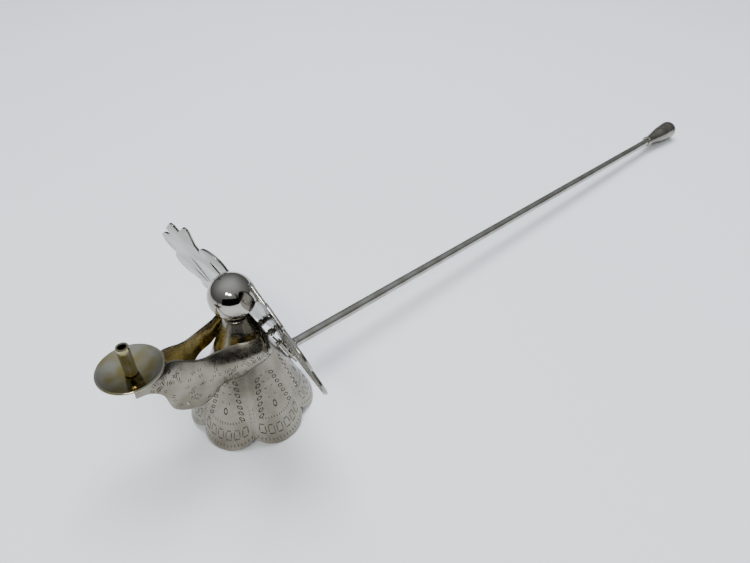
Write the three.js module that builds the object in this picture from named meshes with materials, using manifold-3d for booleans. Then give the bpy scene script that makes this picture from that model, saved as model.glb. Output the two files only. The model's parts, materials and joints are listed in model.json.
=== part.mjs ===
// Angel candle snuffer: a hollow robe of sheet metal is the snuffing bell. A ball head, a wing plate and two
// sleeves are fixed to it, the hands hold a drip dish with a candle tube, and a long handle with a teardrop
// finial is hinged to the back of the robe.
// Millimetres, +Z up. The figure faces -Y and the handle lies along +Y, its finial resting on the table.
// The origin is the centre of the whole object's box, at table height.
import * as THREE from "three";
import { mergeVertices } from "three/addons/utils/BufferGeometryUtils.js";
import Module from "manifold-3d";

const wasm = await Module();
wasm.setup();

// ---- driving dimensions -------------------------------------------------------------------------------

const gap = 0.3; // clearance between pieces that are soldered or rest on each other
const runningGap = 0.2; // clearance of the hinge

const robe = {
  height: 36.4,
  rimRadius: 18.7,
  neckRadius: 3.3,
  wall: 0.8,
  flare: 1.0, // 1 is a straight cone, more draws the middle in
  petals: 6,
  petalBulge: 1.05, // how far a petal stands out from the valleys beside it, at the rim
  petalFade: 3, // how fast the valleys run out upwards, 1 is evenly
  scallop: 3.3, // how far the rim rises at a valley
};

const head = { radius: 6.5, socketDepth: 5 };
const neckScrew = { radius: 1.1, headRadius: 1.9, headHeight: 1.1 };
const neckWasher = { radius: 2.1, thickness: 0.6 };

const dish = { radius: 8.4, depth: 2.3, wall: 0.7, aboveRobe: 1.6, reach: 30.1 };
const candle = { height: 9, radius: 1.6, bore: 1.0 };
const stem = { radius: 0.7, length: 6, footRadius: 1.1, footHeight: 0.8 };

const sleeve = { wall: 0.7, shoulderBulge: 2.0, handBulge: 0.4 };

const wing = {
  wall: 0.7,
  belowTop: 1.4, // the outline's zero line is this far below the robe's top
  standOff: 2.74, // from the robe to the plate's middle plane, at the height of the rivets
  lean: 17.5, // degrees, the top leans forward
  sweep: 8.8, // degrees, each wing is bent forward
};
const wingRivet = { radius: 0.7, shoulder: 1.1, headRadius: 1.3, headHeight: 0.6, belowTop: 10.4, spacing: 5.2 };

const pin = { radius: 0.6, headRadius: 1.1, headHeight: 0.5 };
// The bracket's plate has a window between its ears, which the knuckle's eye turns in.
const bracket = { height: 12.4, plate: 0.6, ear: 0.8, seatHeight: 12.96, pinStand: 1.9 };
// The ears' square corners stop the knuckle's shoulder at stopAngle either side of straight out, in degrees.
const ear = { reach: 1.45, halfHeight: 1.9, stopAngle: 37 };
const bracketRivet = { radius: 0.7, headRadius: 1.2, headHeight: 0.4, offset: 4.6 };
const knuckle = { width: 2.2, eyeRadius: 1.5, collar: 1.2, spigotRadius: 0.9, spigotLength: 5 };

const rod = { radius: 1.6, spigotRadius: 1.1, spigotLength: 6 };
const collar = { radius: 2.5, length: 1.4 };
const finial = { length: 24.7, radius: 4.4, neckRadius: 2.1 };
const handleLength = 253.7; // from the hinge pin to the end of the finial

// ---- materials ----------------------------------------------------------------------------------------

const silver = new THREE.MeshStandardMaterial({ color: 0xa9a59a, roughness: 0.28, metalness: 1 });
const polished = new THREE.MeshStandardMaterial({ color: 0xc4c1b8, roughness: 0.08, metalness: 1 });
const steel = new THREE.MeshStandardMaterial({ color: 0x8f8f8c, roughness: 0.35, metalness: 1 });

// ---- helpers ------------------------------------------------------------------------------------------

const radians = THREE.MathUtils.degToRad;

function geometryFrom(points, triangles) {
  const geometry = new THREE.BufferGeometry();
  geometry.setAttribute("position", new THREE.Float32BufferAttribute(points, 3));
  geometry.setIndex(triangles);
  return geometry;
}

function mesh(name, geometry, material) {
  const made = new THREE.Mesh(geometry, material);
  made.name = name;
  return made;
}

// A turned solid about +Z from [radius, height] pairs that start and end on the axis.
function turned(profile, segments) {
  return spun(profile, segments).rotateX(Math.PI / 2);
}

// A turned solid about +Y from [radius, distance] pairs that start and end on the axis.
function spun(profile, segments) {
  return new THREE.LatheGeometry(profile.map(([r, y]) => new THREE.Vector2(r, y)), segments);
}

// Points of an arc in a turned profile, from one angle to another, in degrees from the radial direction.
function arc(radius, height, from, to, steps) {
  const points = [];
  for (let i = 0; i <= steps; i++) {
    const angle = radians(from + ((to - from) * i) / steps);
    const r = Math.abs(to) === 90 && i === steps ? 0 : radius * Math.cos(angle);
    points.push([r, height + radius * Math.sin(angle)]);
  }
  return points;
}

// A ring-shaped solid: sectionAt(angle) gives a closed loop of [radius, height] that goes up the outside.
function ringSolid(sectionAt, segments) {
  const points = [];
  const triangles = [];
  let count = 0;
  for (let i = 0; i < segments; i++) {
    const angle = (2 * Math.PI * i) / segments;
    const section = sectionAt(angle);
    count = section.length;
    for (const [r, z] of section) points.push(r * Math.cos(angle), r * Math.sin(angle), z);
  }
  for (let i = 0; i < segments; i++) {
    for (let k = 0; k < count; k++) {
      const a = i * count + k;
      const b = ((i + 1) % segments) * count + k;
      const c = ((i + 1) % segments) * count + ((k + 1) % count);
      const d = i * count + ((k + 1) % count);
      triangles.push(a, b, c, a, c, d);
    }
  }
  return geometryFrom(points, triangles);
}

// A sheet of even thickness around surface(u, v), whose outer side is the one that du x dv points to.
function sheetSolid(surface, across, along, thickness) {
  const points = [];
  const triangles = [];
  const step = 1e-3;
  for (const side of [0.5, -0.5]) {
    for (let j = 0; j <= along; j++) {
      for (let i = 0; i <= across; i++) {
        const u = i / across;
        const v = j / along;
        const du = surface(u + step, v).sub(surface(u - step, v));
        const dv = surface(u, v + step).sub(surface(u, v - step));
        const normal = du.cross(dv).normalize();
        const p = surface(u, v).addScaledVector(normal, side * thickness);
        points.push(p.x, p.y, p.z);
      }
    }
  }
  const at = (i, j) => j * (across + 1) + i;
  const back = (across + 1) * (along + 1);
  for (let j = 0; j < along; j++) {
    for (let i = 0; i < across; i++) {
      const corners = [at(i, j), at(i + 1, j), at(i + 1, j + 1), at(i, j + 1)];
      const [a, b, c, d] = corners;
      triangles.push(a, b, c, a, c, d);
      triangles.push(back + a, back + c, back + b, back + a, back + d, back + c);
    }
  }
  const edge = [];
  for (let i = 0; i < across; i++) edge.push(at(i, 0));
  for (let j = 0; j < along; j++) edge.push(at(across, j));
  for (let i = across; i > 0; i--) edge.push(at(i, along));
  for (let j = along; j > 0; j--) edge.push(at(0, j));
  edge.forEach((a, i) => {
    const b = edge[(i + 1) % edge.length];
    triangles.push(a, back + a, back + b, a, back + b, b);
  });
  return geometryFrom(points, triangles);
}

function toManifold(geometry) {
  const bare = geometry.clone();
  bare.deleteAttribute("normal");
  bare.deleteAttribute("uv");
  const merged = mergeVertices(bare, 1e-4);
  const vertProperties = new Float32Array(merged.attributes.position.array);
  const triVerts = new Uint32Array(merged.index.array);
  return new wasm.Manifold(new wasm.Mesh({ numProp: 3, vertProperties, triVerts }));
}

function fromManifold(solid) {
  const made = solid.getMesh();
  return geometryFrom(Array.from(made.vertProperties), Array.from(made.triVerts));
}

function joined(...geometries) {
  return fromManifold(geometries.map(toManifold).reduce((a, b) => a.add(b)));
}

function cut(geometry, ...tools) {
  return fromManifold(tools.map(toManifold).reduce((a, b) => a.subtract(b), toManifold(geometry)));
}

// A round bar about +Z, centred on the origin.
function bar(radius, length, segments = 24) {
  return new THREE.CylinderGeometry(radius, radius, length, segments).rotateX(Math.PI / 2);
}

// ---- robe ---------------------------------------------------------------------------------------------

// 1 in a valley between two petals, 0 over the middle of a petal.
function valley(angle) {
  const turn = (angle + Math.PI / 2) / (2 * Math.PI);
  const share = (((turn * robe.petals) % 1) + 1) % 1;
  const flatShare = 0.97; // the middle of a petal's edge is flat, so that the bell stands
  return 1 - Math.min(1, Math.pow((4 * share * (1 - share)) / flatShare, 0.7));
}

// Outer radius of the robe over the middle of a petal, at a height.
function robeRadius(height) {
  const up = THREE.MathUtils.clamp(height / robe.height, 0, 1);
  return robe.neckRadius + (robe.rimRadius - robe.neckRadius) * Math.pow(1 - up, robe.flare);
}

function robeSection(angle) {
  const dip = valley(angle);
  const bottom = robe.scallop * dip;
  const top = robe.height;
  const rows = 9;
  const outside = [];
  const inside = [];
  for (let i = 0; i <= rows; i++) {
    const height = bottom + ((top - bottom) * i) / rows;
    const radius = robeRadius(height) - robe.petalBulge * dip * Math.pow(1 - i / rows, robe.petalFade);
    outside.push([radius, height]);
    inside.unshift([radius - robe.wall, Math.min(height, top - robe.wall)]);
  }
  const hole = neckScrew.radius + gap;
  return [...outside, [hole, top], [hole, top - robe.wall], ...inside];
}

function robeBell() {
  const shell = ringSolid(robeSection, robe.petals * 12);
  const tools = [-1, 1].map((side) => wingRivetHole(side));
  for (const end of [-1, 1]) tools.push(bracketRivetHole(end).applyMatrix4(bracketPlace));
  return mesh("robe_bell", cut(shell, ...tools), silver);
}

// ---- head and its screw -------------------------------------------------------------------------------

const headHeight = robe.height + gap + head.radius;

function headBall() {
  const hole = neckScrew.radius + gap;
  const mouth = THREE.MathUtils.radToDeg(Math.acos(hole / head.radius));
  const profile = [
    [0, head.socketDepth - head.radius],
    [hole, head.socketDepth - head.radius],
    ...arc(head.radius, 0, -mouth, 90, 22),
  ];
  const ball = mesh("head_ball", turned(profile, 40), polished);
  ball.position.z = headHeight;
  return ball;
}

function neckWasherRing() {
  const hole = neckScrew.radius + gap;
  const ring = ringSolid(
    () => [
      [neckWasher.radius, 0],
      [neckWasher.radius, neckWasher.thickness],
      [hole, neckWasher.thickness],
      [hole, 0],
    ],
    24,
  );
  const washer = mesh("neck_washer", ring, steel);
  washer.position.z = robe.height - robe.wall - gap - neckWasher.thickness;
  return washer;
}

function neckScrewPart() {
  const under = robe.height - robe.wall - 2 * gap - neckWasher.thickness;
  const end = headHeight - head.radius + head.socketDepth - gap;
  const profile = [
    [0, under - neckScrew.headHeight],
    [neckScrew.headRadius * 0.7, under - neckScrew.headHeight],
    [neckScrew.headRadius, under - neckScrew.headHeight * 0.5],
    [neckScrew.headRadius, under],
    [neckScrew.radius, under],
    [neckScrew.radius, end],
    [0, end],
  ];
  return mesh("neck_screw", turned(profile, 24), steel);
}

// ---- sleeves ------------------------------------------------------------------------------------------

// Edges of the left sleeve. Round the shoulder: degrees round the robe from +X, distance out from the robe,
// and distance below the robe's top. Along the arm: distance from the middle plane, distance behind the
// dish's centre, and distance below the robe's top.
const sleeveTop = {
  shoulder: [
    [35, 0.7, 5.0],
    [15, 2.8, 4.2],
    [-9, 2.6, 3.8],
    [-32, 2.6, 3.7],
    [-52, 4.0, 3.6],
    [-64, 6.2, 3.7],
  ],
  arm: [
    [4.4, 16.8, 4.0],
    [3.8, 14.1, 3.3],
    [3.0, 11.5, 1.9],
    [2.2, 8.7, 1.0],
    [1.6, 4.6, 1.5],
    [1.5, -1.4, 1.8],
  ],
};
const sleeveBottom = {
  shoulder: [
    [29, 0.7, 12.0],
    [7, 1.3, 11.4],
    [-14, 0.9, 12.2],
    [-34, 1.1, 13.4],
    [-51, 2.7, 13.3],
    [-60, 4.0, 14.4],
  ],
  arm: [
    [5.8, 14.5, 18.0],
    [5.3, 10.0, 17.8],
    [4.7, 5.8, 14.8],
    [3.9, 4.5, 9.4],
    [3.5, 1.7, 6.6],
    [3.2, -1.9, 5.9],
  ],
};

function sleeveEdge({ shoulder, arm }) {
  const points = shoulder.map(([degrees, out, below]) => {
    const height = robe.height - below;
    const radius = robeRadius(height) + out;
    return new THREE.Vector3(radius * Math.cos(radians(degrees)), radius * Math.sin(radians(degrees)), height);
  });
  for (const [aside, behind, below] of arm) {
    points.push(new THREE.Vector3(aside, behind - dish.reach, robe.height - below));
  }
  return new THREE.CatmullRomCurve3(points);
}

function sleevePart(name, side) {
  const top = sleeveEdge(sleeveTop);
  const bottom = sleeveEdge(sleeveBottom);
  const surface = (u, v) => {
    const along = THREE.MathUtils.clamp(u, 0, 1);
    const p = top.getPoint(along).lerp(bottom.getPoint(along), v);
    const bulge = THREE.MathUtils.lerp(sleeve.shoulderBulge, sleeve.handBulge, along);
    p.x += bulge * 4 * v * (1 - v);
    p.x *= side;
    return p;
  };
  const outward = side > 0 ? surface : (u, v) => surface(1 - u, v);
  return mesh(name, sheetSolid(outward, 33, 8, sleeve.wall), silver);
}

// ---- drip dish, candle tube and stem ------------------------------------------------------------------

const dishFloor = robe.height + dish.aboveRobe - dish.depth; // height of the dish's inside at its middle

// Height of the dish's upper side at a radius, from a shallow sphere.
function dishRise(radius) {
  const sphere = (dish.radius ** 2 + dish.depth ** 2) / (2 * dish.depth);
  return sphere - Math.sqrt(sphere ** 2 - radius ** 2);
}

function dripDish() {
  const hole = stem.radius + gap;
  const rows = 8;
  const upper = [];
  const lower = [];
  for (let i = 0; i <= rows; i++) {
    const radius = hole + ((dish.radius - hole) * i) / rows;
    upper.unshift([radius, dishFloor + dishRise(radius)]);
    lower.push([radius, dishFloor + dishRise(radius) - dish.wall]);
  }
  const made = mesh("drip_dish", ringSolid(() => [...lower, ...upper], 48), polished);
  made.position.y = -dish.reach;
  return made;
}

function candleTube() {
  const bottom = dishFloor + dishRise(candle.radius) + gap;
  const profile = [
    [candle.radius, bottom],
    [candle.radius, bottom + candle.height],
    [candle.bore, bottom + candle.height],
    [candle.bore, bottom],
  ];
  const made = mesh("candle_tube", ringSolid(() => profile, 24), polished);
  made.position.y = -dish.reach;
  return made;
}

function dishStem() {
  const foot = dishFloor - dish.wall - gap - stem.length;
  const profile = [
    [0, foot],
    [stem.footRadius * 0.6, foot],
    [stem.footRadius, foot + stem.footHeight * 0.5],
    [stem.footRadius, foot + stem.footHeight],
    [stem.radius, foot + stem.footHeight],
    [stem.radius, dishFloor + candle.height * 0.4],
    [0, dishFloor + candle.height * 0.4],
  ];
  const made = mesh("dish_stem", turned(profile, 20), polished);
  made.position.y = -dish.reach;
  return made;
}

// ---- wings --------------------------------------------------------------------------------------------

// Half of the wing plate, laid flat: x is away from the middle, y is up from the outline's zero line.
// Two numbers are a corner. Five are a feather's round end: its centre, its radius and the degrees that its
// arc runs between, clockwise.
const wingEdge = [
  [-1.4, 4.5],
  [2.5, 4.5],
  [5.5, 7],
  [11.4, 12.8, 5.2, 180, 30],
  [16, 14],
  [16.5, 17.5],
  [15.7, 23.9, 1.1, 200, 45],
  [21, 21],
  [22.6, 22.3, 1.2, 180, 50],
  [26.2, 19, 1.4, 50, -45],
  [27, 17.5],
  [29.3, 10.6, 5.6, 90, -35],
  [33, 6.3],
  [31.3, 0.8, 5, 45, -85],
  [29.8, -6],
  [28.5, -8.3, 2.2, 40, -90],
  [16, -11.5],
  [-1.4, -11.5],
];

// Slits between the feathers: both ends and the width.
const wingSlits = [
  [24, 9, 22.5, -2.5, 0.9],
  [27, 2, 24, -3.5, 1],
  [13, 12.5, 11.5, 7, 1.6],
];

function slitPath([x1, y1, x2, y2, width]) {
  const along = new THREE.Vector2(x2 - x1, y2 - y1).normalize();
  const angle = along.angle();
  const path = new THREE.Path();
  path.absarc(x1, y1, width / 2, angle + Math.PI / 2, angle + 1.5 * Math.PI, false);
  path.absarc(x2, y2, width / 2, angle - Math.PI / 2, angle + Math.PI / 2, false);
  path.closePath();
  return path;
}

function wingHalf(side) {
  const shape = new THREE.Shape();
  shape.moveTo(...wingEdge[0]);
  for (const [x, y, radius, from, to] of wingEdge.slice(1)) {
    if (radius) shape.absarc(x, y, radius, radians(from), radians(to), true);
    else shape.lineTo(x, y);
  }
  shape.holes = wingSlits.map(slitPath);
  const flat = new THREE.ExtrudeGeometry(shape, { depth: wing.wall, bevelEnabled: false, curveSegments: 8 });
  flat.translate(0, 0, -wing.wall / 2);
  flat.rotateX(Math.PI / 2);
  if (side < 0) flat.rotateZ(Math.PI);
  flat.rotateZ(-side * radians(wing.sweep));
  flat.rotateX(radians(wing.lean));
  return flat;
}

const wingRivetHeight = robe.height - wingRivet.belowTop;
const wingZero = robe.height - wing.belowTop;

// Distance of the wing plate's middle plane behind the robe's axis, at a height.
function wingReach(height) {
  const atRivets = robeRadius(wingRivetHeight) + wing.standOff;
  return atRivets - (height - wingRivetHeight) * Math.tan(radians(wing.lean));
}

// From the robe's axis back through the robe's wall and the plate.
function wingRivetHole(side) {
  const reach = wingReach(wingRivetHeight);
  const hole = bar(wingRivet.radius + gap, 2 * reach).rotateX(Math.PI / 2);
  return hole.translate((side * wingRivet.spacing) / 2, reach, wingRivetHeight);
}

function wingPlate() {
  const plate = joined(wingHalf(1), wingHalf(-1)).translate(0, wingReach(wingZero), wingZero);
  const headRoom = new THREE.SphereGeometry(head.radius + gap, 40, 24).translate(0, 0, headHeight);
  return mesh("wing_plate", cut(plate, headRoom, wingRivetHole(1), wingRivetHole(-1)), silver);
}

// A rivet along +Y from a head inside the robe, with a shoulder that keeps the wing plate off the robe.
function wingRivetPart(name, side) {
  const { radius, shoulder, headRadius, headHeight, spacing } = wingRivet;
  const height = wingRivetHeight;
  const slope = (robe.rimRadius - robe.neckRadius) / robe.height;
  const tilt = Math.tan(radians(wing.lean));
  const outer = Math.sqrt(robeRadius(height) ** 2 - (spacing / 2) ** 2);
  const dent = robe.petalBulge * (1 - height / robe.height);
  const inside = outer - dent - robe.wall - headRadius * slope - 2 * gap;
  const shoulderStart = outer + shoulder * slope + gap;
  const shoulderEnd = wingReach(height) - wing.wall / 2 - shoulder * tilt - 2 * gap;
  const outside = wingReach(height) + wing.wall / 2 + headRadius * tilt + gap;
  const profile = [
    [0, inside - headHeight],
    [headRadius * 0.6, inside - headHeight],
    [headRadius, inside - headHeight * 0.4],
    [headRadius, inside],
    [radius, inside],
    [radius, shoulderStart],
    [shoulder, shoulderStart],
    [shoulder, shoulderEnd],
    [radius, shoulderEnd],
    [radius, outside],
    [headRadius, outside],
    [headRadius, outside + headHeight * 0.4],
    [headRadius * 0.6, outside + headHeight],
    [0, outside + headHeight],
  ];
  const rivet = mesh(name, spun(profile, 20), silver);
  rivet.position.set((side * spacing) / 2, 0, height);
  return rivet;
}

// ---- hinge --------------------------------------------------------------------------------------------

// The bracket's own frame has the pin at its origin, +Y out of the robe's back and +Z up along the robe.
const robeLean = Math.atan((robeRadius(bracket.seatHeight - 1) - robeRadius(bracket.seatHeight + 1)) / 2);
const outOfRobe = new THREE.Vector3(0, Math.cos(robeLean), Math.sin(robeLean));
const pinPoint = new THREE.Vector3(0, robeRadius(bracket.seatHeight), bracket.seatHeight);
pinPoint.addScaledVector(outOfRobe, bracket.pinStand);
const bracketPlace = new THREE.Matrix4().makeRotationX(robeLean).setPosition(pinPoint);
const plateFace = gap + bracket.plate - bracket.pinStand; // the plate's outer face, from the pin

// Turns an outline drawn in x and y and extruded along z into one in Y and Z, centred along X.
function extrudedAlongX(shape, width) {
  const made = new THREE.ExtrudeGeometry(shape, { depth: width, bevelEnabled: false, curveSegments: 12 });
  made.translate(0, 0, -width / 2);
  const x = new THREE.Vector3(1, 0, 0);
  const y = new THREE.Vector3(0, 1, 0);
  const z = new THREE.Vector3(0, 0, 1);
  return made.applyMatrix4(new THREE.Matrix4().makeBasis(y, z, x));
}

function pinHole() {
  return bar(pin.radius + runningGap, 20).rotateY(Math.PI / 2);
}

function bracketRivetHole(end) {
  const hole = bar(bracketRivet.radius + gap, 6).rotateX(Math.PI / 2);
  return hole.translate(0, plateFace - bracket.plate, end * bracketRivet.offset);
}

function hingeBracket() {
  const middle = plateFace - bracket.plate / 2;
  const windowWidth = knuckle.width + 2 * runningGap;
  const width = windowWidth + 2 * bracket.ear;
  const plate = new THREE.BoxGeometry(width, bracket.plate, bracket.height).translate(0, middle, 0);
  const outline = new THREE.Shape();
  outline.moveTo(middle, -ear.halfHeight);
  outline.lineTo(ear.reach, -ear.halfHeight);
  outline.lineTo(ear.reach, ear.halfHeight);
  outline.lineTo(middle, ear.halfHeight);
  const offset = (windowWidth + bracket.ear) / 2;
  const ears = [-1, 1].map((side) => extrudedAlongX(outline, bracket.ear).translate(side * offset, 0, 0));
  const windowHeight = 2 * (knuckle.eyeRadius + gap);
  const window = new THREE.BoxGeometry(windowWidth, 4 * bracket.plate, windowHeight).translate(0, middle, 0);
  const solid = cut(joined(plate, ...ears), window, pinHole(), bracketRivetHole(1), bracketRivetHole(-1));
  return mesh("hinge_bracket", solid.applyMatrix4(bracketPlace), silver);
}

function bracketRivetPart(name, end) {
  const { radius, headRadius, headHeight, offset } = bracketRivet;
  const outside = plateFace + gap;
  const inside = plateFace - bracket.plate - robe.wall - robe.petalBulge - 3 * gap;
  const profile = [
    [0, inside - headHeight],
    [headRadius, inside - headHeight],
    [headRadius, inside],
    [radius, inside],
    [radius, outside],
    [headRadius, outside],
    [headRadius * 0.8, outside + headHeight],
    [0, outside + headHeight],
  ];
  const rivet = spun(profile, 20).translate(0, 0, end * offset).applyMatrix4(bracketPlace);
  return mesh(name, rivet, silver);
}

function hingePin() {
  const half = knuckle.width / 2 + runningGap + bracket.ear + gap;
  const { radius, headRadius, headHeight } = pin;
  const profile = [
    [0, -half - headHeight],
    [headRadius * 0.6, -half - headHeight],
    [headRadius, -half - headHeight * 0.4],
    [headRadius, -half],
    [radius, -half],
    [radius, half],
    [headRadius, half],
    [headRadius, half + headHeight * 0.4],
    [headRadius * 0.6, half + headHeight],
    [0, half + headHeight],
  ];
  const made = mesh("hinge_pin", spun(profile, 24).rotateZ(-Math.PI / 2), steel);
  made.position.copy(pinPoint);
  return made;
}

// ---- handle, in its own frame: the pin at the origin and the rod along +Y ------------------------------

const finialStart = handleLength - finial.length;

// The shoulder's distance from the pin, at which it meets the ears' corners at the two stops.
const stop = radians(ear.stopAngle);
const knuckleShoulder = ear.reach * Math.cos(stop) + ear.halfHeight * Math.sin(stop);
const knuckleEnd = knuckleShoulder + knuckle.collar;

function hingeKnuckle() {
  const profile = [
    [0, knuckleShoulder],
    [rod.radius, knuckleShoulder],
    [rod.radius, knuckleEnd],
    [knuckle.spigotRadius, knuckleEnd],
    [knuckle.spigotRadius, knuckleEnd + knuckle.spigotLength],
    [0, knuckleEnd + knuckle.spigotLength],
  ];
  const neck = knuckle.eyeRadius * 0.8;
  const reach = knuckleShoulder + knuckle.collar / 2;
  const outline = new THREE.Shape();
  outline.moveTo(0, -knuckle.eyeRadius);
  outline.lineTo(reach, -neck);
  outline.lineTo(reach, neck);
  outline.lineTo(0, knuckle.eyeRadius);
  outline.absarc(0, 0, knuckle.eyeRadius, Math.PI / 2, 1.5 * Math.PI, false);
  const solid = joined(spun(profile, 32), extrudedAlongX(outline, knuckle.width));
  return mesh("hinge_knuckle", cut(solid, pinHole()), polished);
}

function handleRod() {
  const start = knuckleEnd + gap;
  const bore = knuckle.spigotRadius + gap;
  const boreEnd = knuckleEnd + knuckle.spigotLength + gap;
  const end = finialStart - 3 * gap - collar.length;
  const tip = finialStart + rod.spigotLength;
  const profile = [
    [0, boreEnd],
    [bore, boreEnd],
    [bore, start],
    [rod.radius, start],
    [rod.radius, end],
    [rod.spigotRadius, end],
    [rod.spigotRadius, tip],
    [0, tip],
  ];
  return mesh("handle_rod", spun(profile, 32), polished);
}

function finialCollar() {
  const hole = rod.spigotRadius + gap;
  const start = finialStart - 2 * gap - collar.length;
  const loop = [
    [collar.radius * 0.85, start],
    [collar.radius, start + collar.length * 0.35],
    [collar.radius, start + collar.length * 0.65],
    [collar.radius * 0.85, start + collar.length],
    [hole, start + collar.length],
    [hole, start],
  ];
  return mesh("finial_collar", ringSolid(() => loop, 32).rotateX(-Math.PI / 2), polished);
}

function finialDrop() {
  const centre = handleLength - finial.radius;
  const hole = rod.spigotRadius + gap;
  const flank = new THREE.SplineCurve([
    new THREE.Vector2(finial.neckRadius, finialStart),
    new THREE.Vector2(finial.neckRadius * 1.28, finialStart + finial.length * 0.2),
    new THREE.Vector2(finial.radius * 0.86, centre - finial.radius * 1.9),
    new THREE.Vector2(finial.radius, centre),
  ]);
  const profile = [
    [0, finialStart + rod.spigotLength + gap],
    [hole, finialStart + rod.spigotLength + gap],
    [hole, finialStart],
    ...flank.getPoints(12).map((p) => [p.x, p.y]),
    ...arc(finial.radius, centre, 0, 90, 8).slice(1),
  ];
  return mesh("finial", spun(profile, 32), polished);
}

// ---- the whole object ---------------------------------------------------------------------------------

const figure = new THREE.Group();
figure.add(robeBell(), headBall(), neckWasherRing(), neckScrewPart());
figure.add(sleevePart("left_sleeve", 1), sleevePart("right_sleeve", -1));
figure.add(dripDish(), candleTube(), dishStem());
figure.add(wingPlate(), wingRivetPart("wing_rivet_left", 1), wingRivetPart("wing_rivet_right", -1));
figure.add(hingeBracket(), hingePin());
figure.add(bracketRivetPart("bracket_rivet_upper", 1), bracketRivetPart("bracket_rivet_lower", -1));

const handle = new THREE.Group();
handle.add(hingeKnuckle(), handleRod(), finialCollar(), finialDrop());
handle.position.copy(pinPoint);
// The handle slopes down from the pin until its finial rests on the table.
handle.rotation.x = -Math.asin((pinPoint.z - finial.radius) / (handleLength - finial.radius));

const snuffer = new THREE.Group();
snuffer.add(figure, handle);

const box = new THREE.Box3().setFromObject(snuffer, true);
for (const part of [figure, handle]) {
  part.position.y -= (box.min.y + box.max.y) / 2;
  part.position.x -= (box.min.x + box.max.x) / 2;
}

export default snuffer;
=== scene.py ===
"""Looks of the angel candle snuffer: silver-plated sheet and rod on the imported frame, in metres."""
import math
import random

import bmesh
import bpy
from mathutils import Matrix, Vector
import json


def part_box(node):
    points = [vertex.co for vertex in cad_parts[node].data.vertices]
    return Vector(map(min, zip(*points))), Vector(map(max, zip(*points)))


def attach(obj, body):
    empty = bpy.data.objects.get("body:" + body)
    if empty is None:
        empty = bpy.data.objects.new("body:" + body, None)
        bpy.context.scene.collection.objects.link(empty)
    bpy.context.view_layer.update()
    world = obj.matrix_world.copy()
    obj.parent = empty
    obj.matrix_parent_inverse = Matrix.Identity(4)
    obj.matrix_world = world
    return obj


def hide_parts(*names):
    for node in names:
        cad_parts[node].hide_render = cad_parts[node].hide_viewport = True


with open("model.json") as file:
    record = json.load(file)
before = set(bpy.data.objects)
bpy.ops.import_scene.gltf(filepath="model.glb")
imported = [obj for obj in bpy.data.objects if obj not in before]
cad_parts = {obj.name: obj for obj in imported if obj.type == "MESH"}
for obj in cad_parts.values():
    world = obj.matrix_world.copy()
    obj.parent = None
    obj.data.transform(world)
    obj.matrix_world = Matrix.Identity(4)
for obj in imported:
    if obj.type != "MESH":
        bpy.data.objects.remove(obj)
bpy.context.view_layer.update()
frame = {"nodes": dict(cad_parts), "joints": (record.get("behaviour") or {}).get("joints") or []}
MM = 0.001

# ---- helpers -------------------------------------------------------------------------------------------


def linear(code):
    """An sRGB hex colour as the linear RGBA that Blender's sockets take."""
    parts = [int(code[i : i + 2], 16) / 255 for i in (1, 3, 5)]
    return [c / 12.92 if c <= 0.04045 else ((c + 0.055) / 1.055) ** 2.4 for c in parts] + [1.0]


def node(material, kind, settings=(), links=()):
    """Adds one shader node with its settings and its input links."""
    made = material.node_tree.nodes.new(kind)
    for name, value in dict(settings).items():
        if name in made.inputs:
            made.inputs[name].default_value = value
        else:
            setattr(made, name, value)
    for name, source in dict(links).items():
        material.node_tree.links.new(source, made.inputs[name])
    return made


def deselect():
    if bpy.context.object and bpy.context.object.mode != "OBJECT":
        bpy.ops.object.mode_set(mode="OBJECT")
    bpy.ops.object.select_all(action="DESELECT")


def activate(obj):
    deselect()
    obj.select_set(True)
    bpy.context.view_layer.objects.active = obj
    return obj


def tidy_normals(obj, merge=1e-6):
    activate(obj)
    bpy.ops.object.mode_set(mode="EDIT")
    bpy.ops.mesh.select_all(action="SELECT")
    bpy.ops.mesh.remove_doubles(threshold=merge)
    bpy.ops.mesh.normals_make_consistent(inside=False)
    bpy.ops.object.mode_set(mode="OBJECT")


def modify(obj, kind, **settings):
    """Adds a modifier and applies it at once."""
    activate(obj)
    modifier = obj.modifiers.new(kind.title(), kind)
    for name, value in settings.items():
        setattr(modifier, name, value)
    bpy.ops.object.modifier_apply(modifier=modifier.name)


def settle(obj, matrix):
    """Puts a piece in its place, with the place in its mesh."""
    obj.matrix_world = matrix
    activate(obj)
    bpy.ops.object.transform_apply(location=True, rotation=True, scale=True)


def finish(obj, body, material, stands_for=(), angle=35):
    """Smooths a piece, gives it its metal and tells the frame what it rides on and stands for."""
    activate(obj)
    bpy.ops.object.shade_smooth_by_angle(angle=math.radians(angle))
    materials = material if isinstance(material, (list, tuple)) else [material]
    if len(obj.data.materials) == 0:
        for entry in materials:
            obj.data.materials.append(entry)
    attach(obj, body)
    if stands_for:
        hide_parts(*stands_for)
    return obj


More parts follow.
